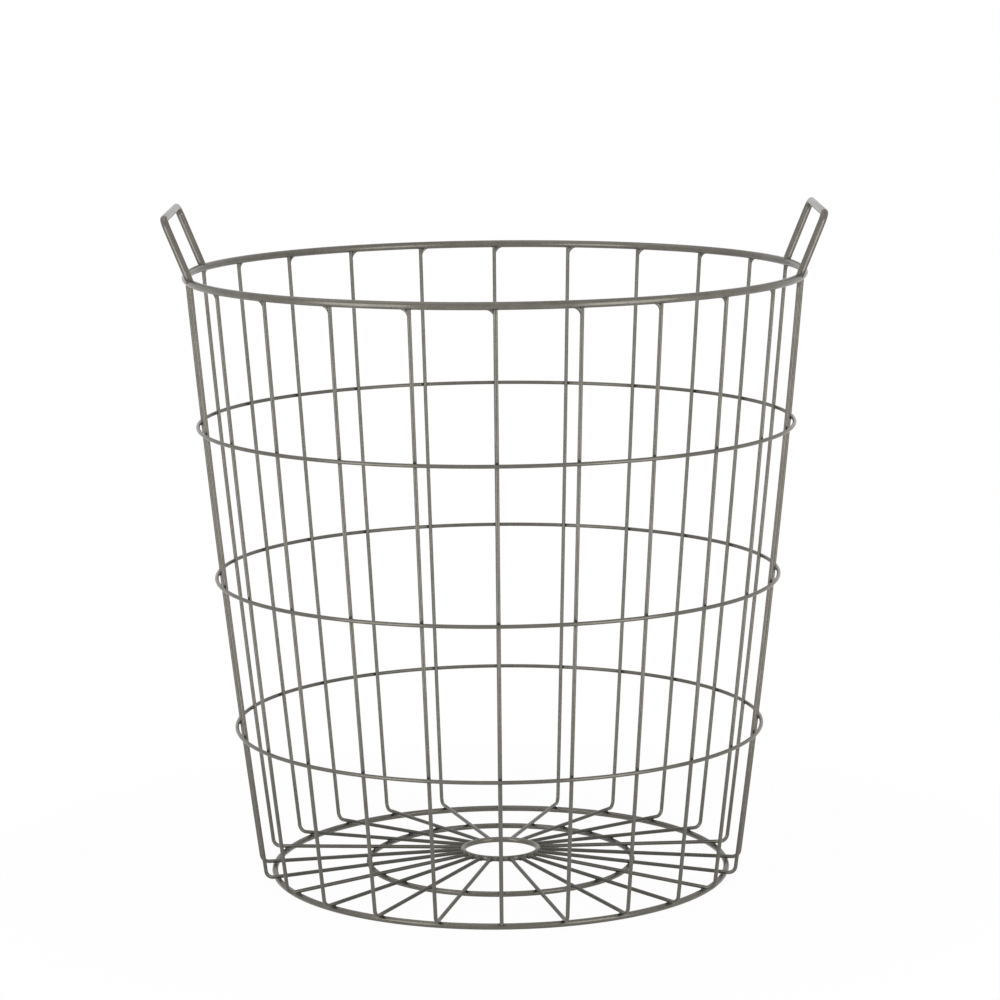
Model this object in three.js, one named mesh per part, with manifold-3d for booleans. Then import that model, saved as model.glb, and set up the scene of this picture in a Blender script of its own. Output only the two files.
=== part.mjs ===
// Wire harvest basket: a round, tapered basket of welded steel wire with two fixed handles.
// Millimetres, +Z up. The origin is on the floor, on the basket's axis, and the handles stand on X.

import * as THREE from 'three';
import { mergeVertices } from 'three/addons/utils/BufferGeometryUtils.js';
import Module from 'manifold-3d';

// Wire diameters
const RIM_WIRE = 5;
const HANDLE_WIRE = 5;
const UPRIGHT_WIRE = 2.5;
const HOOP_WIRE = 2.5;
const FOOT_WIRE = 4;
const MID_WIRE = 3.6;
const HUB_WIRE = 3.6;

// Basket: heights are from the floor, and radii run to the middle of a wire.
const BASKET_HEIGHT = 400;
const RIM_RADIUS = 200;
const FOOT_RADIUS = 150;
const MID_RADIUS = 87.5;
const HUB_RADIUS = 25;
const UPRIGHT_COUNT = 24;
const HOOP_NAMES = ['lower_hoop', 'middle_hoop', 'upper_hoop'];

// Shape of one upright: its bend stands just outside the foot ring, its side swells a little past
// a straight line, and its spoke climbs gently from the foot ring to the hub.
const BEND_OVERHANG = 4;
const BEND_RADIUS = 5;
const SIDE_BOW = 2.2;
const SPOKE_CLIMB = THREE.MathUtils.degToRad(3);

// Handles: the span is between the middles of the legs, and the rise is from the top of the rim to
// the middle of the bar. Both lean outwards from the vertical, and their feet straddle the rim a little.
const HANDLE_SPAN = 104;
const HANDLE_RISE = 38;
const HANDLE_CORNER = 6.5;
const HANDLE_LEAN = THREE.MathUtils.degToRad(22);
const HANDLE_SADDLE = 0.7;

// The weld fillet in the corner between each upright and the underside of the rim
const FILLET_REACH = 4.5;
const FILLET_DROP = 4;
const FILLET_THICKNESS = 1.8;

// Air left between two wires that are welded together
const SEAT_GAP = 0.3;

// Facets: sides of a wire, steps of curves, and steps of each ring between two uprights.
// Points of a path that are closer than SAME_POINT are one point.
const WIRE_SIDES = 8;
const PATH_STEPS = 4;
const FILLET_STEPS = 3;
const RIM_STEPS = 3;
const HOOP_STEPS = 3;
const FOOT_STEPS = 3;
const MID_STEPS = 2;
const HUB_STEPS = 1;
const SAME_POINT = 1e-6;

// Finish: satin warm grey paint with a metallic glint
const FINISH_COLOR = 0x7f7c74;
const FINISH_ROUGHNESS = 0.45;
const FINISH_METALNESS = 0.6;

const wasm = await Module();
wasm.setup();

const rimHeight = BASKET_HEIGHT - RIM_WIRE / 2;
const footHeight = FOOT_WIRE / 2;

// Rise from the middle of a ring to the middle of the spokes that lie across it
function spokeSeat(ringWire) {
  return (ringWire / 2 + SEAT_GAP + UPRIGHT_WIRE / 2) / Math.cos(SPOKE_CLIMB);
}

// Height of the middle of a spoke where it passes a given radius
function spokeHeight(radius) {
  return footHeight + spokeSeat(FOOT_WIRE) + (FOOT_RADIUS - radius) * Math.tan(SPOKE_CLIMB);
}

// The bend turns the spoke up into the side. The side leaves it as a tangent towards a point that
// lies beyond the rim by four times the bow, and then curves back in to meet the rim.
const bendStart = FOOT_RADIUS + BEND_OVERHANG;
const bendCentre = new THREE.Vector2(
  bendStart + BEND_RADIUS * Math.sin(SPOKE_CLIMB),
  spokeHeight(bendStart) + BEND_RADIUS * Math.cos(SPOKE_CLIMB),
);
const sideAim = new THREE.Vector2(RIM_RADIUS + 4 * SIDE_BOW, rimHeight);
const aimFromBend = sideAim.clone().sub(bendCentre);
const sideLean = Math.atan2(aimFromBend.x, aimFromBend.y) - Math.asin(BEND_RADIUS / aimFromBend.length());
const sideFoot = bendCentre.clone().add(
  new THREE.Vector2(Math.cos(sideLean), -Math.sin(sideLean)).multiplyScalar(BEND_RADIUS),
);
const sideCurve = new THREE.QuadraticBezierCurve(
  sideFoot,
  sideFoot.clone().lerp(sideAim, 0.5),
  new THREE.Vector2(RIM_RADIUS, rimHeight),
);

// Radius of a hoop that lies against the outside of the uprights at a given height
function hoopRadius(height) {
  const along = (height - sideFoot.y) / (rimHeight - sideFoot.y);
  const slope = sideCurve.getTangent(along);
  const seat = UPRIGHT_WIRE / 2 + SEAT_GAP + HOOP_WIRE / 2;
  return sideCurve.getPoint(along).x + seat / slope.y;
}

// A polygon whose flats lie on the round surface of a wire
function wireSection(wire) {
  const reach = wire / 2 / Math.cos(Math.PI / WIRE_SIDES);
  const corners = [];
  for (let side = 0; side < WIRE_SIDES; side += 1) {
    const angle = ((side + 0.5) * 2 * Math.PI) / WIRE_SIDES;
    corners.push(new THREE.Vector2(reach * Math.cos(angle), reach * Math.sin(angle)));
  }
  return corners;
}

// Points along a drawn line, without the doubles where one run joins the next
function stationsAlong(line) {
  const points = line.getPoints(PATH_STEPS);
  return points.filter((point, index) => index === 0 || point.distanceTo(points[index - 1]) > SAME_POINT);
}

// Shares the corners of neighbouring faces, so that a surface is closed
function sealed(geometry) {
  geometry.deleteAttribute('normal');
  geometry.deleteAttribute('uv');
  return mergeVertices(geometry);
}

// A closed ring of wire around the basket's axis, with a corner of its facets at every upright
function ringGeometry(radius, height, wire, stepsPerUpright) {
  const profile = wireSection(wire).map((corner) => corner.add(new THREE.Vector2(radius, height)));
  profile.push(profile[0].clone());
  const ring = new THREE.LatheGeometry(profile, UPRIGHT_COUNT * stepsPerUpright, Math.PI / 2);
  return sealed(ring.rotateX(Math.PI / 2));
}

// The centre line of a bent wire: it passes through each station, and its section there lies on
// the mitre between the two runs that meet.
class WirePath extends THREE.Curve {
  constructor(stations) {
    super();
    this.stations = stations;
  }

  getUtoTmapping(u) {
    return u;
  }

  getPoint(t, target = new THREE.Vector3()) {
    const place = t * (this.stations.length - 1);
    const before = Math.min(Math.floor(place), this.stations.length - 2);
    return target.lerpVectors(this.stations[before], this.stations[before + 1], place - before);
  }

  getTangent(t, target = new THREE.Vector3()) {
    const last = this.stations.length - 1;
    const here = Math.round(t * last);
    const arriving = this.run(Math.max(here - 1, 0));
    const leaving = this.run(Math.min(here, last - 1));
    return target.addVectors(arriving, leaving).normalize();
  }

  run(from) {
    return new THREE.Vector3().subVectors(this.stations[from + 1], this.stations[from]).normalize();
  }
}

// A bent wire with square ends
function bentWireGeometry(stations, wire) {
  const section = new THREE.Shape(wireSection(wire));
  const extrudePath = new WirePath(stations);
  return sealed(new THREE.ExtrudeGeometry(section, { steps: stations.length - 1, extrudePath }));
}

function solidOf(geometry) {
  const vertProperties = new Float32Array(geometry.attributes.position.array);
  const triVerts = new Uint32Array(geometry.index.array);
  return new wasm.Manifold(new wasm.Mesh({ numProp: 3, vertProperties, triVerts }));
}

function geometryOf(solid) {
  const mesh = solid.getMesh();
  const geometry = new THREE.BufferGeometry();
  geometry.setAttribute('position', new THREE.BufferAttribute(mesh.vertProperties, 3));
  geometry.setIndex(new THREE.BufferAttribute(mesh.triVerts, 1));
  geometry.computeVertexNormals();
  return geometry;
}

// The room that a ring takes up, with the seat gap around it: wires that butt against it are coped to it.
function ringRoom(radius, height, wire, stepsPerUpright) {
  return solidOf(ringGeometry(radius, height, wire + 2 * SEAT_GAP, stepsPerUpright));
}

const rimRoom = ringRoom(RIM_RADIUS, rimHeight, RIM_WIRE, RIM_STEPS);
const hubRoom = ringRoom(HUB_RADIUS, spokeHeight(HUB_RADIUS), HUB_WIRE, HUB_STEPS);

// The hollow weld fillet on one side of an upright's top end, before it is coped to the rim
function filletGeometry() {
  const rimUnderside = rimHeight - RIM_WIRE / 2;
  const flank = UPRIGHT_WIRE / 2;
  const outline = new THREE.Shape();
  outline.moveTo(0, rimUnderside - FILLET_DROP);
  outline.lineTo(0, rimHeight);
  outline.lineTo(-flank - FILLET_REACH, rimHeight);
  outline.lineTo(-flank - FILLET_REACH, rimUnderside);
  outline.quadraticCurveTo(-flank, rimUnderside, -flank, rimUnderside - FILLET_DROP);
  const fillet = new THREE.ExtrudeGeometry(outline, {
    depth: FILLET_THICKNESS,
    curveSegments: FILLET_STEPS,
    bevelEnabled: false,
  });
  fillet.translate(0, 0, RIM_RADIUS - FILLET_THICKNESS / 2);
  fillet.rotateX(Math.PI / 2);
  fillet.rotateZ(Math.PI / 2);
  return sealed(fillet);
}

// One upright on +X: a spoke from the hub over the base rings, the bend, and the side up to the rim
function uprightGeometry() {
  const line = new THREE.Path();
  line.moveTo(HUB_RADIUS, spokeHeight(HUB_RADIUS));
  line.lineTo(bendStart, spokeHeight(bendStart));
  line.absarc(bendCentre.x, bendCentre.y, BEND_RADIUS, -Math.PI / 2 - SPOKE_CLIMB, -sideLean, false);
  line.quadraticCurveTo(sideCurve.v1.x, sideCurve.v1.y, sideCurve.v2.x, sideCurve.v2.y);
  const stations = stationsAlong(line).map((point) => new THREE.Vector3(point.x, 0, point.y));
  const wire = solidOf(bentWireGeometry(stations, UPRIGHT_WIRE));
  const welded = wire.add(solidOf(filletGeometry()));
  return geometryOf(welded.subtract(rimRoom).subtract(hubRoom));
}

// One handle on +X: a bar bent into a U, standing on the rim and leaning outwards
function handleGeometry() {
  const half = HANDLE_SPAN / 2;
  const footEnd = RIM_WIRE / 2 - HANDLE_SADDLE;
  const length = (HANDLE_RISE + RIM_WIRE / 2) / Math.cos(HANDLE_LEAN);
  const cornerHeight = length - HANDLE_CORNER;
  const line = new THREE.Path();
  line.moveTo(-half, footEnd);
  line.lineTo(-half, cornerHeight);
  line.absarc(HANDLE_CORNER - half, cornerHeight, HANDLE_CORNER, Math.PI, Math.PI / 2, true);
  line.absarc(half - HANDLE_CORNER, cornerHeight, HANDLE_CORNER, Math.PI / 2, 0, true);
  line.lineTo(half, footEnd);
  const footX = Math.sqrt(RIM_RADIUS ** 2 - half ** 2);
  const stations = stationsAlong(line).map((point) => new THREE.Vector3(
    footX + point.y * Math.sin(HANDLE_LEAN),
    point.x,
    rimHeight + point.y * Math.cos(HANDLE_LEAN),
  ));
  return geometryOf(solidOf(bentWireGeometry(stations, HANDLE_WIRE)).subtract(rimRoom));
}

const basket = new THREE.Group();

function addPiece(name, geometry, turn = 0) {
  const finish = new THREE.MeshStandardMaterial({
    color: FINISH_COLOR,
    roughness: FINISH_ROUGHNESS,
    metalness: FINISH_METALNESS,
  });
  const piece = new THREE.Mesh(geometry, finish);
  piece.name = name;
  piece.rotation.z = turn;
  basket.add(piece);
}

// Rings of the base
const midHeight = spokeHeight(MID_RADIUS) - spokeSeat(MID_WIRE);
addPiece('foot_ring', ringGeometry(FOOT_RADIUS, footHeight, FOOT_WIRE, FOOT_STEPS));
addPiece('mid_ring', ringGeometry(MID_RADIUS, midHeight, MID_WIRE, MID_STEPS));
addPiece('hub_ring', ringGeometry(HUB_RADIUS, spokeHeight(HUB_RADIUS), HUB_WIRE, HUB_STEPS));

// Uprights, evenly spaced
const upright = uprightGeometry();
for (let index = 0; index < UPRIGHT_COUNT; index += 1) {
  const number = String(index + 1).padStart(2, '0');
  addPiece(`upright_${number}`, upright, (index * 2 * Math.PI) / UPRIGHT_COUNT);
}

// Hoops around the outside of the uprights divide the height evenly.
HOOP_NAMES.forEach((name, index) => {
  const height = (BASKET_HEIGHT * (index + 1)) / (HOOP_NAMES.length + 1);
  addPiece(name, ringGeometry(hoopRadius(height), height, HOOP_WIRE, HOOP_STEPS));
});

// Rim and handles
addPiece('rim', ringGeometry(RIM_RADIUS, rimHeight, RIM_WIRE, RIM_STEPS));
const handle = handleGeometry();
addPiece('handle_right', handle);
addPiece('handle_left', handle, Math.PI);

export default basket;
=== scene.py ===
# Wire harvest basket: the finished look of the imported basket.
# Metres, +Z up: the basket stands on the floor at the origin, with its handles on X.

import math

import bpy
from mathutils import Matrix, Vector


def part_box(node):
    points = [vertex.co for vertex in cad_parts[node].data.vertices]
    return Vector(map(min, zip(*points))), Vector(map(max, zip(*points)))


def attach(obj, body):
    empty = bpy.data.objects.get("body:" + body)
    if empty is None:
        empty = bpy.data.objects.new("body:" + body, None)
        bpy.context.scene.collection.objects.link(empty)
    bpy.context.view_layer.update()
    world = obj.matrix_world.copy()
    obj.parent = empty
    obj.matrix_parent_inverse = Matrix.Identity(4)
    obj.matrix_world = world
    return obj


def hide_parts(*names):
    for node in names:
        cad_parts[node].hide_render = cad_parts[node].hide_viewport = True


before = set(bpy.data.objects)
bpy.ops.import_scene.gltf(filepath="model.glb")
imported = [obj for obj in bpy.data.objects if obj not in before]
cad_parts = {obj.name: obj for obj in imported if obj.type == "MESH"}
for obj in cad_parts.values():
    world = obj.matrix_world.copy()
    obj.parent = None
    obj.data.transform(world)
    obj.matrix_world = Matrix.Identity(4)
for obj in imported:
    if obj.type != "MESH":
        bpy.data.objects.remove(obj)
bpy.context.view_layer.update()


# Foot ring
# The ring that the basket stands on: round steel wire, bent to a circle and butt-welded flush.
# The spokes are spot-welded across its top, and the whole basket is painted in one satin warm grey.

UPRIGHT_COUNT = 24
UPRIGHT_PITCH = 2 * math.pi / UPRIGHT_COUNT
WIRE_SIDES = 20
RING_STEPS = 192
SAME_POINT = 1e-6


def wire_end(wire, place, turn=(0, 0, 0)):
    """Starts a new piece with the round outline of a wire, and goes on in edit mode."""
    bpy.ops.object.select_all(action="DESELECT")
    bpy.ops.mesh.primitive_circle_add(vertices=WIRE_SIDES, radius=wire / 2, location=place, rotation=turn)
    bpy.ops.object.transform_apply(location=True, rotation=True, scale=True)
    bpy.ops.object.mode_set(mode="EDIT")
    bpy.ops.mesh.select_all(action="SELECT")
    return bpy.context.object


def close_up():
    """Leaves edit mode with the ends filled, the seams merged and the faces pointing outwards."""
    bpy.ops.mesh.select_all(action="SELECT")
    bpy.ops.mesh.remove_doubles(threshold=SAME_POINT)
    bpy.ops.mesh.fill_holes(sides=0)
    bpy.ops.mesh.select_all(action="SELECT")
    bpy.ops.mesh.normals_make_consistent(inside=False)
    bpy.ops.object.mode_set(mode="OBJECT")


def ring_of(node):
    """The wire's diameter, and the radius and height of the wire's middle, of a ring of the basket."""
    low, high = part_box(node)
    wire = high.z - low.z
    return wire, high.x - wire / 2, (low.z + high.z) / 2


def wire_ring(node):
    """A round, smooth ring of wire in the place of a ring of the basket."""
    wire, radius, height = ring_of(node)
    ring = wire_end(wire, (radius, 0, height), (math.pi / 2, 0, 0))
    bpy.ops.mesh.spin(steps=RING_STEPS, angle=2 * math.pi, center=(0, 0, 0), axis=(0, 0, 1))
    close_up()
    bpy.ops.object.shade_smooth()
    return ring


class Socket:
    """A socket of a node tree. Arithmetic on it adds Math nodes."""

    def __init__(self, tree, link=None):
        self.tree = tree
        self.link = link

    def node(self, kind, settings=None, inputs=None, output=0):
        """Adds a node, sets it up, sets or links its sockets, and gives one of its outputs."""
        made = self.tree.nodes.new(kind)
        for name, value in (settings or {}).items():
            setattr(made, name, value)
        for name, value in (inputs or {}).items():
            if isinstance(value, Socket):
                self.tree.links.new(value.link, made.inputs[name])
            else:
                made.inputs[name].default_value = value
        return Socket(self.tree, made.outputs[output])

    def math(self, operation, *terms):
        return self.node("ShaderNodeMath", {"operation": operation}, dict(enumerate(terms)))

    def __add__(self, other):
        return self.math("ADD", self, other)

    def __sub__(self, other):
        return self.math("SUBTRACT", self, other)

    def __rsub__(self, other):
        return self.math("SUBTRACT", other, self)

    def __mul__(self, other):
        return self.math("MULTIPLY", self, other)

    def __truediv__(self, other):
        return self.math("DIVIDE", self, other)

    def __abs__(self):
        return self.math("ABSOLUTE", self)

    __radd__ = __add__
    __rmul__ = __mul__

    def rise(self, start, end):
        """0 before start, 1 past end, and smooth between them."""
        steps = {"Value": self, "From Min": start, "From Max": end}
        return self.node("ShaderNodeMapRange", {"interpolation_type": "SMOOTHSTEP"}, steps)

    def blend(self, before, after):
        """A colour between two others, by this value."""
        # Among a Mix node's sockets, 6 and 7 are the two colours, and output 2 is the mixed one.
        return self.node("ShaderNodeMix", {"data_type": "RGBA"}, {0: self, 6: before, 7: after}, output=2)


PAINT_DARK = (0.148, 0.140, 0.120, 1)
PAINT_LIGHT = (0.205, 0.194, 0.168, 1)
PAINT_FLECK = (0.31, 0.30, 0.28, 1)
# The dark colour that weld marks and painted shade blend the paint towards
WELD_AND_SHADE_COLOUR = (0.060, 0.057, 0.049, 1)
PAINT_METALLIC = 0.5
PAINT_IOR = 1.13
PAINT_ROUGHNESS = 0.13
GRAIN_ROUGHNESS = 0.16
WELD_ROUGHNESS = 0.06

# Each pattern in the paint: how many patches it has in a metre, and how many layers of finer ones
CLOUDS = (90, 2)
GRAIN = (700, 3)
FLECKS = (2600, 0)
STREAKS = (35, 2)
FINER_STRENGTH = 0.6
STREAK_LINES = 2.2
CLOUD_SHARE = 0.3
GRAIN_SHARE = 0.3
STREAK_SHARE = 0.4
TONE_LIMITS = (0.34, 0.66)
FLECK_LIMITS = (0.62, 0.74)
FLECK_COVER = 0.35
WELD_AND_SHADE_COVER = 0.8
PEEL_STRENGTH = 0.6
PEEL_DEPTH = 0.00004


def grey_paint(name, marks_and_shade):
    """Satin grey metallic paint: clouded, finely grained and flecked, streaked along every wire, and darker
    at weld marks and with painted shade in their crevices and along some wires. The function passed in
    gives that darkness from a point's angle, radius and height, and from how far its surface faces up and
    outwards."""
    material = bpy.data.materials.new(name)
    material.use_nodes = True
    tree = material.node_tree
    shader = tree.nodes["Principled BSDF"]
    shader.inputs["Metallic"].default_value = PAINT_METALLIC
    shader.inputs["IOR"].default_value = PAINT_IOR
    bench = Socket(tree)

    def axes(vector):
        return [bench.node("ShaderNodeSeparateXYZ", inputs={0: vector}, output=axis) for axis in range(3)]

    def noise(where, pattern):
        per_metre, layers = pattern
        values = {"Vector": where, "Scale": per_metre, "Detail": layers, "Roughness": FINER_STRENGTH}
        return bench.node("ShaderNodeTexNoise", inputs=values)

    place = bench.node("ShaderNodeTexCoord", output="Object")
    facing = bench.node("ShaderNodeNewGeometry", output="Normal")
    x, y, height = axes(place)
    east, north, up = axes(facing)
    angle = bench.math("ARCTAN2", y, x)
    radius = bench.math("SQRT", x * x + y * y)
    out = (east * x + north * y) / radius
    shade = marks_and_shade(angle, radius, height, up, out)

    # A line along a wire keeps the way it faces, so noise that changes faster with that way
    # than with the place makes lines along every wire.
    turned = {0: facing, "Scale": STREAK_LINES / STREAKS[0]}
    side = bench.node("ShaderNodeVectorMath", {"operation": "SCALE"}, turned)
    along = bench.node("ShaderNodeVectorMath", {"operation": "ADD"}, {0: place, 1: side})
    clouds = noise(place, CLOUDS)
    grain = noise(place, GRAIN)
    streaks = noise(along, STREAKS)
    flecks = noise(place, FLECKS).rise(*FLECK_LIMITS)
    tone = (CLOUD_SHARE * clouds + GRAIN_SHARE * grain + STREAK_SHARE * streaks).rise(*TONE_LIMITS)
    colour = (flecks * FLECK_COVER).blend(tone.blend(PAINT_DARK, PAINT_LIGHT), PAINT_FLECK)
    # Weld marks, and painted shade in crevices and along whole wires, darken the paint here
    colour = (shade * WELD_AND_SHADE_COVER).blend(colour, WELD_AND_SHADE_COLOUR)
    roughness = PAINT_ROUGHNESS + GRAIN_ROUGHNESS * grain + WELD_ROUGHNESS * shade
    bump = {"Strength": PEEL_STRENGTH, "Distance": PEEL_DEPTH, "Height": grain + clouds}
    normal = bench.node("ShaderNodeBump", inputs=bump)
    for socket, value in (("Base Color", colour), ("Roughness", roughness), ("Normal", normal)):
        tree.links.new(value.link, shader.inputs[socket])
    return material


# The dark mark of a weld, with painted shade in the crevice beside it, is full within the near distance and
# gone past the far one. On one side of a wire it starts and is full at two values of how far the surface
# faces that way.
WELD_NEAR = 0.0009
WELD_FAR = 0.0034
FACES_UP = (0.0, 0.7)
# Painted shade that darkens the rings of the base all over
BASE_PAINTED_SHADE = 0.1


def near_upright(angle, radius):
    """1 beside an upright and 0 away from it, along a ring of the given radius."""
    along = angle.math("PINGPONG", angle, UPRIGHT_PITCH / 2) * radius
    return along.rise(WELD_FAR, WELD_NEAR)


def base_welds_and_shade(ring_radius):
    """Darker all over as painted shade, and a weld mark with painted crevice shade on top under each spoke.
    """

    def shade(angle, radius, height, up, out):
        return BASE_PAINTED_SHADE + (1 - BASE_PAINTED_SHADE) * near_upright(angle, ring_radius) * up.rise(*FACES_UP)

    return shade


def fit(piece, name, paint, node):
    """Names and paints a finished piece, and puts it in the place of its node."""
    piece.name = name
    piece.data.name = name
    piece.data.materials.append(paint)
    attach(piece, "root")
    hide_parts(node)


foot_wire, foot_radius, foot_height = ring_of("foot_ring")
foot_paint = grey_paint("foot_ring_paint", base_welds_and_shade(foot_radius))
fit(wire_ring("foot_ring"), "foot_ring_wire", foot_paint, "foot_ring")


# Mid ring
# A smaller ring of round steel wire half-way in, which keeps the spokes apart under a load.
# It lies under the spokes and is spot-welded to each of them.

mid_wire, mid_radius, mid_height = ring_of("mid_ring")
mid_paint = grey_paint("mid_ring_paint", base_welds_and_shade(mid_radius))
fit(wire_ring("mid_ring"), "mid_ring_wire", mid_paint, "mid_ring")


# Hub ring
# The small ring of round steel wire in the middle of the base, level with the spokes.
# The spokes end against its outer side, each held by a collar of weld.

FACES_OUT = (0.2, 0.8)

hub_wire, hub_radius, hub_height = ring_of("hub_ring")


def hub_welds_and_shade(angle, radius, height, up, out):
    """A dark weld mark with painted crevice shade on the outer side at each spoke."""
    return near_upright(angle, hub_radius) * out.rise(*FACES_OUT)


fit(wire_ring("hub_ring"), "hub_ring_wire", grey_paint("hub_ring_paint", hub_welds_and_shade), "hub_ring")


# Uprights
# Each is one thin steel wire: a spoke over both rings of the base, a tight bend just outside the foot ring,
# and a side that swells a little up to the rim. It is welded at every crossing; its spoke has painted
# shade.

UPRIGHT_WIRE = 0.0025
SPOKE_CLIMB = math.radians(3)
BEND_OVERHANG = 0.004
BEND_RADIUS = 0.005
SIDE_BOW = 0.0022
SEAT_GAP = 0.0003
WELD_SINK = 0.0006
SPOKE_STEPS = 6
BEND_STEPS = 10
SIDE_STEPS = 24
BEND_AXIS = (0, 1, 0)

FILLET_RADIUS = 0.0053
FILLET_DEPTH = 0.0021
FILLET_THICKNESS = 0.0016
FILLET_SINK = 0.0001
FILLET_STEPS = 8
NOSE_SHARE = 0.49
NOSE_STEPS = 4

NUGGET_SIDES = 10
NUGGET_WAIST = 0.0008
NUGGET_FLARE = 1.5
# The share of a spot weld's length that each step takes, and how its width changes there
NUGGET_STEPS = ((0.3, 1 / NUGGET_FLARE), (0.4, 1), (0.3, NUGGET_FLARE))
BEAD_SIZE = (0.0011, 0.002, 0.0014)
BEAD_DROP = 0.0005
BEAD_SEGMENTS = 16
BEAD_RINGS = 10
CREASE_ANGLE = math.radians(40)

rim_wire, rim_radius, rim_height = ring_of("rim")
hoop_rings = {node: ring_of(node) for node in ("lower_hoop", "middle_hoop", "upper_hoop")}
rim_underside = rim_height - rim_wire / 2


def spoke_height(radius):
    """The height of the middle of a spoke at a radius."""
    seat = (foot_wire / 2 + SEAT_GAP + UPRIGHT_WIRE / 2) / math.cos(SPOKE_CLIMB)
    return foot_height + seat + (foot_radius - radius) * math.tan(SPOKE_CLIMB)


# The bend turns the spoke up into the side, which is an arc from the bend's end to the middle of the rim.
# Such an arc sets out towards a point that is four times its bow outside its end.
bend_start = foot_radius + BEND_OVERHANG
bend_centre = Vector((
    bend_start + BEND_RADIUS * math.sin(SPOKE_CLIMB),
    0,
    spoke_height(bend_start) + BEND_RADIUS * math.cos(SPOKE_CLIMB),
))
aim = Vector((rim_radius + 4 * SIDE_BOW, 0, rim_height)) - bend_centre
side_lean = math.atan2(aim.x, aim.z) - math.asin(BEND_RADIUS / aim.length)
side_normal = Vector((math.cos(side_lean), 0, -math.sin(side_lean)))
side_foot = bend_centre + BEND_RADIUS * side_normal
chord = Vector((rim_radius, 0, rim_height)) - side_foot
side_radius = chord.length / (2 * math.sin(side_lean - math.atan2(chord.x, chord.z)))
side_centre = side_foot - side_radius * side_normal


def side_turn(height):
    """How far the side has turned at a height, from the bend's end."""
    return side_lean + math.asin((height - side_centre.z) / side_radius)


def side_reach(height):
    """The radius of the middle of an upright at a height on the side."""
    return side_centre.x + math.sqrt(side_radius ** 2 - (height - side_centre.z) ** 2)


def bent_wire():
    """The bare wire of the upright on +X, from the hub to the rim."""
    start = hub_radius + hub_wire / 2 - WELD_SINK
    wire = wire_end(UPRIGHT_WIRE, (start, 0, spoke_height(start)), (0, math.pi / 2 + SPOKE_CLIMB, 0))
    step = (bend_start - start) / SPOKE_STEPS
    for _ in range(SPOKE_STEPS):
        move = {"value": (step, 0, -step * math.tan(SPOKE_CLIMB))}
        bpy.ops.mesh.extrude_region_move(TRANSFORM_OT_translate=move)
    bend = math.pi / 2 + SPOKE_CLIMB - side_lean
    bpy.ops.mesh.spin(steps=BEND_STEPS, angle=bend, center=bend_centre, axis=BEND_AXIS)
    rise = side_turn(rim_underside + WELD_SINK)
    bpy.ops.mesh.spin(steps=SIDE_STEPS, angle=rise, center=side_centre, axis=BEND_AXIS)
    close_up()
    return wire


def rim_fillet():
    """The hollow web of weld in the corner between the upright's side and the underside of the rim.
    It is modelled at the origin, and then put under the rim and leaned over with the side."""
    flank = -UPRIGHT_WIRE / 2
    inset = FILLET_RADIUS - FILLET_SINK
    turn_centre = Vector((0, flank - inset, -inset))
    middle = turn_centre + Vector((0, FILLET_RADIUS + FILLET_DEPTH / 2, 0))
    bpy.ops.object.select_all(action="DESELECT")
    bpy.ops.mesh.primitive_plane_add(size=1, location=middle)
    fillet = bpy.context.object
    fillet.scale = (FILLET_THICKNESS, FILLET_DEPTH, 1)
    bpy.ops.object.transform_apply(location=True, rotation=True, scale=True)
    for vertex in fillet.data.vertices:
        vertex.select = vertex.co.y < middle.y
    bpy.ops.object.mode_set(mode="EDIT")
    bpy.ops.mesh.select_mode(type="VERT")
    bpy.ops.mesh.bevel(offset=FILLET_THICKNESS * NOSE_SHARE, segments=NOSE_STEPS, affect="VERTICES")
    bpy.ops.mesh.select_all(action="SELECT")
    bpy.ops.mesh.delete(type="ONLY_FACE")
    bpy.ops.mesh.select_all(action="SELECT")
    bpy.ops.mesh.spin(steps=FILLET_STEPS, angle=math.pi / 2, center=turn_centre, axis=(-1, 0, 0))
    close_up()
    fillet.location = (side_reach(rim_underside), 0, rim_underside)
    fillet.rotation_euler.y = side_lean - side_turn(rim_underside)
    bpy.ops.object.transform_apply(location=True, rotation=True, scale=True)
    return fillet


def nugget(place, direction, reach):
    """A spot weld between two wires that cross: a short neck that flares where it runs into them."""
    turn = direction.to_track_quat("Z", "Y").to_euler()
    start = place - direction * reach / 2
    bpy.ops.object.select_all(action="DESELECT")
    bpy.ops.mesh.primitive_circle_add(
        vertices=NUGGET_SIDES, radius=NUGGET_WAIST * NUGGET_FLARE, location=start, rotation=turn)
    neck = bpy.context.object
    bpy.ops.object.transform_apply(location=True, rotation=True, scale=True)
    bpy.ops.object.mode_set(mode="EDIT")
    bpy.ops.mesh.select_all(action="SELECT")
    for share, flare in NUGGET_STEPS:
        start = start + direction * reach * share
        bpy.ops.mesh.extrude_region_move(TRANSFORM_OT_translate={"value": direction * reach * share})
        bpy.ops.transform.resize(value=(flare, flare, flare), center_override=start)
    close_up()
    return neck


def hub_bead():
    """The collar of weld round the spoke's end, on the outer side of the hub ring."""
    place = (hub_radius + hub_wire / 2, 0, hub_height - BEAD_DROP)
    bpy.ops.object.select_all(action="DESELECT")
    bpy.ops.mesh.primitive_uv_sphere_add(
        segments=BEAD_SEGMENTS, ring_count=BEAD_RINGS, radius=1, location=place)
    bead = bpy.context.object
    bead.scale = BEAD_SIZE
    bpy.ops.object.transform_apply(location=True, rotation=True, scale=True)
    return bead


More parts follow.
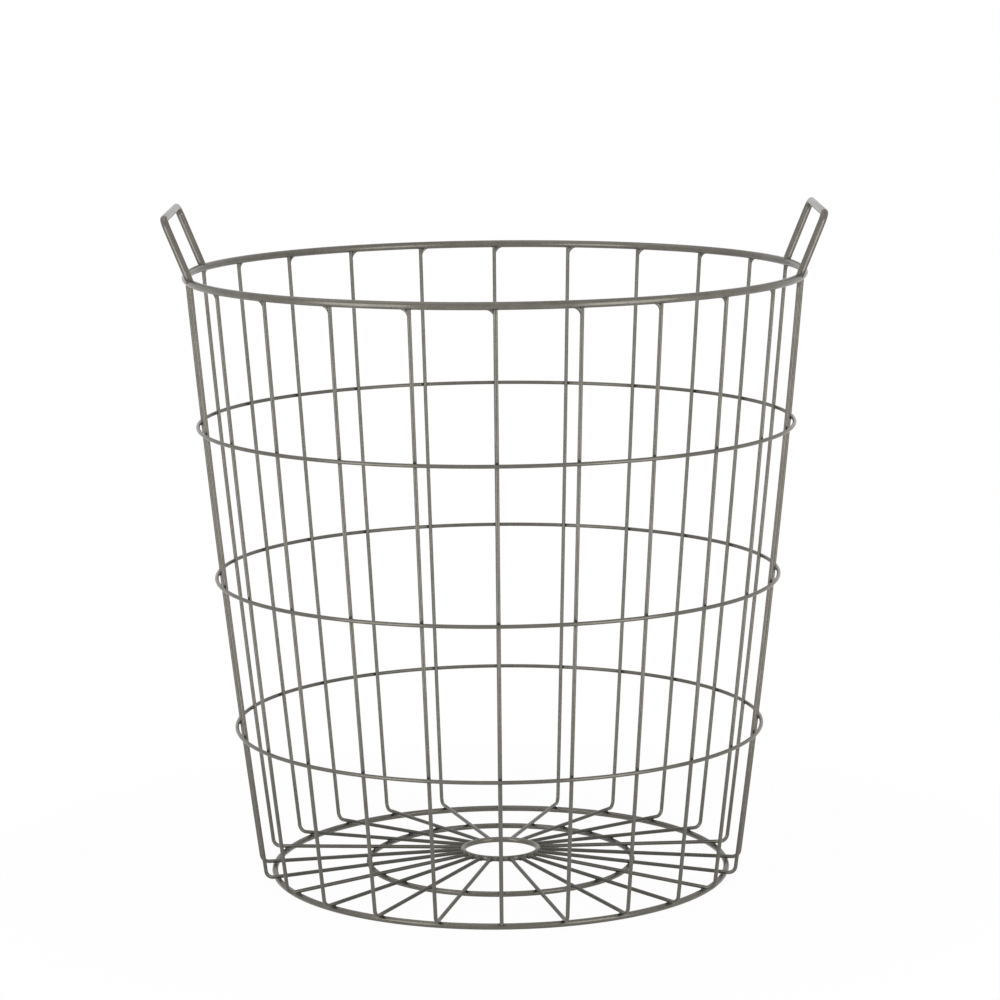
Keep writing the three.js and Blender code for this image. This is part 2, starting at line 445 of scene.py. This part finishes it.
def crossing_welds():
    """The spot welds of the upright on +X, at the hoops and at both rings of the base.
    Each sits in the middle of the gap between its wires and reaches well into both."""
    welds = []
    for wire, radius, height in hoop_rings.values():
        reach = radius - side_reach(height)
        middle = Vector((radius - reach / 2 + (UPRIGHT_WIRE - wire) / 4, 0, height))
        welds.append(nugget(middle, Vector((1, 0, 0)), reach))
    for wire, radius, height in ((foot_wire, foot_radius, foot_height), (mid_wire, mid_radius, mid_height)):
        top = height + wire / 2
        reach = spoke_height(radius) - top + wire / 4
        welds.append(nugget(Vector((radius, 0, top + SEAT_GAP / 2)), Vector((0, 0, 1)), reach))
    return welds


def welded_to(piece, welds):
    """Fuses weld metal into a piece."""
    for weld in welds:
        bpy.ops.object.select_all(action="DESELECT")
        bpy.context.view_layer.objects.active = piece
        piece.select_set(True)
        union = piece.modifiers.new("union", "BOOLEAN")
        union.operation = "UNION"
        union.solver = "EXACT"
        union.object = weld
        bpy.ops.object.modifier_apply(modifier=union.name)
        bpy.data.objects.remove(weld)
    bpy.ops.object.shade_smooth_by_angle(angle=CREASE_ANGLE)


def copy_turned(piece, turn):
    """A copy of a finished piece, with a mesh of its own, turned about the basket's axis."""
    bpy.ops.object.select_all(action="DESELECT")
    bpy.context.view_layer.objects.active = piece
    piece.select_set(True)
    bpy.ops.object.duplicate()
    copy = bpy.context.object
    copy.rotation_euler.z = turn
    bpy.ops.object.transform_apply(location=True, rotation=True, scale=True)
    return copy


# Painted shade: a little on the whole upright, in the crevices at its welds, and more all along the spoke
SIDE_PAINTED_SHADE = 0.1
RIM_WELD_SHADE = 0.2
RIM_WELD_NEAR = 0.001
RIM_WELD_FAR = 0.0032
HOOP_WELD_SHADE = 0.65
HUB_WELD_SHADE = 0.7
HUB_WELD_NEAR = 0.002
HUB_WELD_FAR = 0.0045
# Painted shade along the spoke, and the distance across the foot ring over which it fades in
SPOKE_PAINTED_SHADE = 0.67
SPOKE_SHADE_FADE = 0.012
FACES_DOWN = (0.0, -0.7)
NOT_ON_TOP = (0.5, -0.3)
# Above the first height a wire is a side, and below the second one it is a spoke
SPOKE_HEIGHTS = (0.02, 0.016)


def upright_welds_and_shade(angle, radius, height, up, out):
    """Painted shade a little all over, weld marks with painted crevice shade, and more painted shade along
    the spoke.
    """
    at_rim = height.rise(rim_underside - RIM_WELD_FAR, rim_underside - RIM_WELD_NEAR)
    shade = SIDE_PAINTED_SHADE + RIM_WELD_SHADE * at_rim * near_upright(angle, rim_radius)
    for _, _, hoop_height in hoop_rings.values():
        at_hoop = abs(height - hoop_height).rise(WELD_FAR, WELD_NEAR)
        shade = shade + HOOP_WELD_SHADE * at_hoop * out.rise(*FACES_OUT)
    under_spoke = height.rise(*SPOKE_HEIGHTS) * up.rise(*FACES_DOWN)
    for ring_radius in (foot_radius, mid_radius):
        shade = shade + abs(radius - ring_radius).rise(WELD_FAR, WELD_NEAR) * under_spoke
    at_hub = radius.rise(hub_radius + HUB_WELD_FAR, hub_radius + HUB_WELD_NEAR)
    shade = shade + HUB_WELD_SHADE * at_hub * up.rise(*NOT_ON_TOP)
    # Painted shade all along the spoke, inside the foot ring
    shade = shade + SPOKE_PAINTED_SHADE * radius.rise(foot_radius + SPOKE_SHADE_FADE / 2, foot_radius - SPOKE_SHADE_FADE / 2)
    return shade.math("MINIMUM", shade, 1.0)


upright = bent_wire()
welded_to(upright, [rim_fillet(), hub_bead(), *crossing_welds()])
upright_paint = grey_paint("upright_paint", upright_welds_and_shade)
copies = [copy_turned(upright, index * UPRIGHT_PITCH) for index in range(1, UPRIGHT_COUNT)]
for number, piece in enumerate([upright, *copies], start=1):
    fit(piece, f"upright_{number:02}_wire", upright_paint, f"upright_{number:02}")


# Hoops
# Three rings of the same thin steel wire around the outside of the uprights.
# Each is spot-welded to all of the uprights, and they divide the basket's height evenly.

# Painted shade that darkens the hoops all over
HOOP_PAINTED_SHADE = 0.2
FACES_IN = (-0.1, -0.8)


def hoop_welds_and_shade(hoop_radius):
    """The shade of a hoop: painted shade all over, and a weld mark with painted crevice shade inside at
    each upright.
    """

    def shade(angle, radius, height, up, out):
        return HOOP_PAINTED_SHADE + (1 - HOOP_PAINTED_SHADE) * near_upright(angle, hoop_radius) * out.rise(*FACES_IN)

    return shade


for node, (_, hoop_radius, _) in hoop_rings.items():
    hoop_paint = grey_paint(f"{node}_paint", hoop_welds_and_shade(hoop_radius))
    fit(wire_ring(node), f"{node}_wire", hoop_paint, node)


# Rim
# The thickest ring of round steel wire, which closes the basket's mouth and carries both handles.
# The uprights are welded to its underside, and painted shade darkens it around the handles' feet.

HANDLE_WIRE = 0.005
# Weld marks with painted crevice shade at the handles' feet, on the rim and on the handles
FOOT_WELD_SHADE = 0.7
FOOT_WELD_NEAR = 0.0026
FOOT_WELD_FAR = 0.0048
# Painted shade on the rim around the handles' feet, and how far from a foot it is full and gone
FOOT_PAINTED_SHADE = 0.3
FOOT_SHADE_NEAR = 0.006
FOOT_SHADE_FAR = 0.024
RIM_TOP = (0.2, 0.8)
RIM_BOTTOM = (-0.3, -0.9)

handle_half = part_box("handle_right")[1].y - HANDLE_WIRE / 2
foot_angle = math.asin(handle_half / rim_radius)


def rim_welds_and_shade(angle, radius, height, up, out):
    """Weld marks with painted crevice shade under the uprights and on the handles' feet, painted shade
    round the feet.
    """
    from_foot = abs(angle.math("PINGPONG", angle, math.pi / 2) - foot_angle) * rim_radius
    under_handle = FOOT_WELD_SHADE * from_foot.rise(FOOT_WELD_FAR, FOOT_WELD_NEAR) * up.rise(*RIM_TOP)
    painted_dark = FOOT_PAINTED_SHADE * from_foot.rise(FOOT_SHADE_FAR, FOOT_SHADE_NEAR)
    return near_upright(angle, rim_radius) * up.rise(*RIM_BOTTOM) + under_handle + painted_dark


fit(wire_ring("rim"), "rim_wire", grey_paint("rim_paint", rim_welds_and_shade), "rim")


# Handles
# Each is a bar of round steel, as thick as the rim, bent into a U with tight corners.
# Its feet are welded on top of the rim, and it leans outwards.

HANDLE_RISE = 0.038
HANDLE_CORNER = 0.0065
HANDLE_LEAN = math.radians(22)
CORNER_STEPS = 10
# How far each step of a foot's weld is from the middle of the rim, and its width along the rim, in bars
FOOT_FLARE = ((0.0008, 1.5), (0.0024, 1.42), (0.0029, 1.22), (0.0037, 1.07), (0.0050, 1.0))
# How far above the middle of the rim the shade of a foot's weld starts, and where it is full
SHADE_START = 0.0056
SHADE_FULL = 0.0032
FOOT_OUTSIDE = (-0.1, 0.5)


def widen(share, place):
    """Scales the end of the bar along the rim."""
    bpy.ops.transform.resize(value=(1, share, 1), center_override=place)


def handle_bar():
    """The handle on +X, modelled upright and then leaned over."""
    length = (HANDLE_RISE + rim_wire / 2) / math.cos(HANDLE_LEAN)
    bar = wire_end(HANDLE_WIRE, (0, -handle_half, FOOT_FLARE[0][0]))
    widen(FOOT_FLARE[0][1], (0, -handle_half, 0))
    for (low, wide), (high, narrow) in zip(FOOT_FLARE, FOOT_FLARE[1:]):
        bpy.ops.mesh.extrude_region_move(TRANSFORM_OT_translate={"value": (0, 0, high - low)})
        widen(narrow / wide, (0, -handle_half, 0))
    leg = length - HANDLE_CORNER - FOOT_FLARE[-1][0]
    top = handle_half - HANDLE_CORNER
    bpy.ops.mesh.extrude_region_move(TRANSFORM_OT_translate={"value": (0, 0, leg)})
    corner = Vector((0, -top, length - HANDLE_CORNER))
    bpy.ops.mesh.spin(steps=CORNER_STEPS, angle=math.pi / 2, center=corner, axis=(1, 0, 0))
    bpy.ops.mesh.extrude_region_move(TRANSFORM_OT_translate={"value": (0, 2 * top, 0)})
    corner.y = top
    bpy.ops.mesh.spin(steps=CORNER_STEPS, angle=math.pi / 2, center=corner, axis=(1, 0, 0))
    bpy.ops.mesh.extrude_region_move(TRANSFORM_OT_translate={"value": (0, 0, -leg)})
    for (high, narrow), (low, wide) in zip(FOOT_FLARE[::-1], FOOT_FLARE[-2::-1]):
        bpy.ops.mesh.extrude_region_move(TRANSFORM_OT_translate={"value": (0, 0, low - high)})
        widen(wide / narrow, (0, handle_half, 0))
    close_up()
    bar.location = (rim_radius * math.cos(foot_angle), 0, rim_height)
    bar.rotation_euler.y = HANDLE_LEAN
    bpy.ops.object.transform_apply(location=True, rotation=True, scale=True)
    bpy.ops.object.shade_smooth_by_angle(angle=CREASE_ANGLE)
    return bar


def handle_welds_and_shade(angle, radius, height, up, out):
    """A dark weld mark with painted crevice shade on the outer side of each foot."""
    at_foot = height.rise(rim_height + SHADE_START, rim_height + SHADE_FULL)
    return FOOT_WELD_SHADE * at_foot * out.rise(*FOOT_OUTSIDE)


handle = handle_bar()
handle_paint = grey_paint("handle_paint", handle_welds_and_shade)
other_handle = copy_turned(handle, math.pi)
fit(handle, "handle_right_bar", handle_paint, "handle_right")
fit(other_handle, "handle_left_bar", handle_paint, "handle_left")


# Floor
# A round, matt table top, as pale to the eye and in reflections as the white room, into which it fades.
# It keeps a faint shadow, and gives only part of its light back to the lowest wires.

FLOOR_RADIUS = 0.42
FLOOR_FADE = 0.28
FLOOR_SIDES = 96
FLOOR_PALE = (0.9, 0.9, 0.9, 1)
FLOOR_DIM = (0.6, 0.6, 0.6, 1)
FLOOR_WHITE = 0.97
WHITE = (1, 1, 1, 1)

bpy.ops.object.select_all(action="DESELECT")
bpy.ops.mesh.primitive_circle_add(vertices=FLOOR_SIDES, radius=FLOOR_RADIUS, fill_type="NGON")
floor = bpy.context.object
floor.name = "floor"
floor_paint = bpy.data.materials.new("floor_paint")
floor_paint.use_nodes = True
floor_paint.node_tree.nodes.clear()
bench = Socket(floor_paint.node_tree)


def seen_ray(bench):
    """1 for what the eye sees by itself, in a reflection or through glass."""
    kinds = ("Camera", "Glossy", "Transmission")
    camera, glossy, through = (bench.node("ShaderNodeLightPath", output=f"Is {kind} Ray") for kind in kinds)
    seen = camera + glossy + through
    return seen.math("MINIMUM", seen, 1.0)


seen = seen_ray(bench)
place = bench.node("ShaderNodeTexCoord", output="Object")
reach = bench.node("ShaderNodeVectorMath", {"operation": "LENGTH"}, {0: place}, output="Value")
white_share = seen * (FLOOR_WHITE + (1 - FLOOR_WHITE) * reach.rise(FLOOR_FADE, FLOOR_RADIUS))
matt = bench.node("ShaderNodeBsdfDiffuse", inputs={"Color": seen.blend(FLOOR_DIM, FLOOR_PALE)})
white = bench.node("ShaderNodeEmission", inputs={"Color": WHITE, "Strength": 1.0})
mixed = bench.node("ShaderNodeMixShader", inputs={0: white_share, 1: matt, 2: white})
surface = floor_paint.node_tree.nodes.new("ShaderNodeOutputMaterial")
floor_paint.node_tree.links.new(mixed.link, surface.inputs["Surface"])
floor.data.materials.append(floor_paint)


# Light and camera
# Soft light from a white studio and a wide lamp overhead. A tall soft lamp on each side of the camera
# brightens a stretch of every ring. The camera stands in front, a little above, with a long lens.

# How bright the room is on each side, and how far a direction goes back, up or down where that side starts
# and where it is full
ROOM_FRONT = 0.02
ROOM_BACK = 0.9
ROOM_CEILING = 0.5
ROOM_GROUND = 0.5
BACK_LIMITS = (-0.6, 0.5)
CEILING_LIMITS = (0.25, 0.85)
GROUND_LIMITS = (0.0, -0.12)

OVERHEAD_SIZE = (2.4, 2.4)
OVERHEAD_PLACE = (-0.8, 0.2, 2.6)
OVERHEAD_POWER = 7
FRONT_SIZE = (0.5, 0.82)
FRONT_REACH = 0.61
FRONT_DEPTH = -0.63
FRONT_HEIGHT = 0.21
FRONT_POWER = 3.2

CAMERA_LENS = 129.92
CAMERA_PLACE = (-0.003, -2.3344, 0.6321)
CAMERA_YAW = math.radians(0.121)
CAMERA_PITCH = math.radians(9.35)
CAMERA_ROLL = math.radians(-0.572)

scene = bpy.context.scene
scene.view_settings.view_transform = "Standard"
room = bpy.data.worlds.new("room")
room.use_nodes = True
room.node_tree.nodes.clear()
scene.world = room
bench = Socket(room.node_tree)
direction = bench.node("ShaderNodeTexCoord", output="Generated")
depth = bench.node("ShaderNodeSeparateXYZ", inputs={0: direction}, output=1)
climb = bench.node("ShaderNodeSeparateXYZ", inputs={0: direction}, output=2)
glow = ROOM_FRONT + (ROOM_BACK - ROOM_FRONT) * depth.rise(*BACK_LIMITS)
glow = glow + (ROOM_CEILING - glow) * climb.rise(*CEILING_LIMITS)
glow = glow + (ROOM_GROUND - glow) * climb.rise(*GROUND_LIMITS)
seen = seen_ray(bench)
strength = glow + (1 - glow) * seen
light = bench.node("ShaderNodeBackground", inputs={"Color": WHITE, "Strength": strength})
sky = room.node_tree.nodes.new("ShaderNodeOutputWorld")
room.node_tree.links.new(light.link, sky.inputs["Surface"])


def soft_lamp(name, place, aim, shape, size, power):
    """A lamp with a soft, flat face that looks at a point. The camera doesn't see the lamp itself."""
    bpy.ops.object.light_add(type="AREA", location=place)
    lamp = bpy.context.object
    lamp.name = name
    lamp.data.shape = shape
    lamp.data.size, lamp.data.size_y = size
    lamp.data.energy = power
    lamp.visible_camera = False
    lamp.rotation_euler = (Vector(aim) - Vector(place)).to_track_quat("-Z", "Y").to_euler()


soft_lamp("overhead_lamp", OVERHEAD_PLACE, (0, 0, 0), "DISK", OVERHEAD_SIZE, OVERHEAD_POWER)
for name, across in (("left_lamp", -FRONT_REACH), ("right_lamp", FRONT_REACH)):
    lamp_place = (across, FRONT_DEPTH, FRONT_HEIGHT)
    soft_lamp(name, lamp_place, (0, 0, FRONT_HEIGHT), "RECTANGLE", FRONT_SIZE, FRONT_POWER)

bpy.ops.object.camera_add()
camera = bpy.context.object
camera.data.lens = CAMERA_LENS
camera.matrix_world = (
    Matrix.Translation(CAMERA_PLACE)
    @ Matrix.Rotation(-CAMERA_YAW, 4, "Z")
    @ Matrix.Rotation(math.pi / 2 - CAMERA_PITCH, 4, "X")
    @ Matrix.Rotation(CAMERA_ROLL, 4, "Z")
)
scene.camera = camera
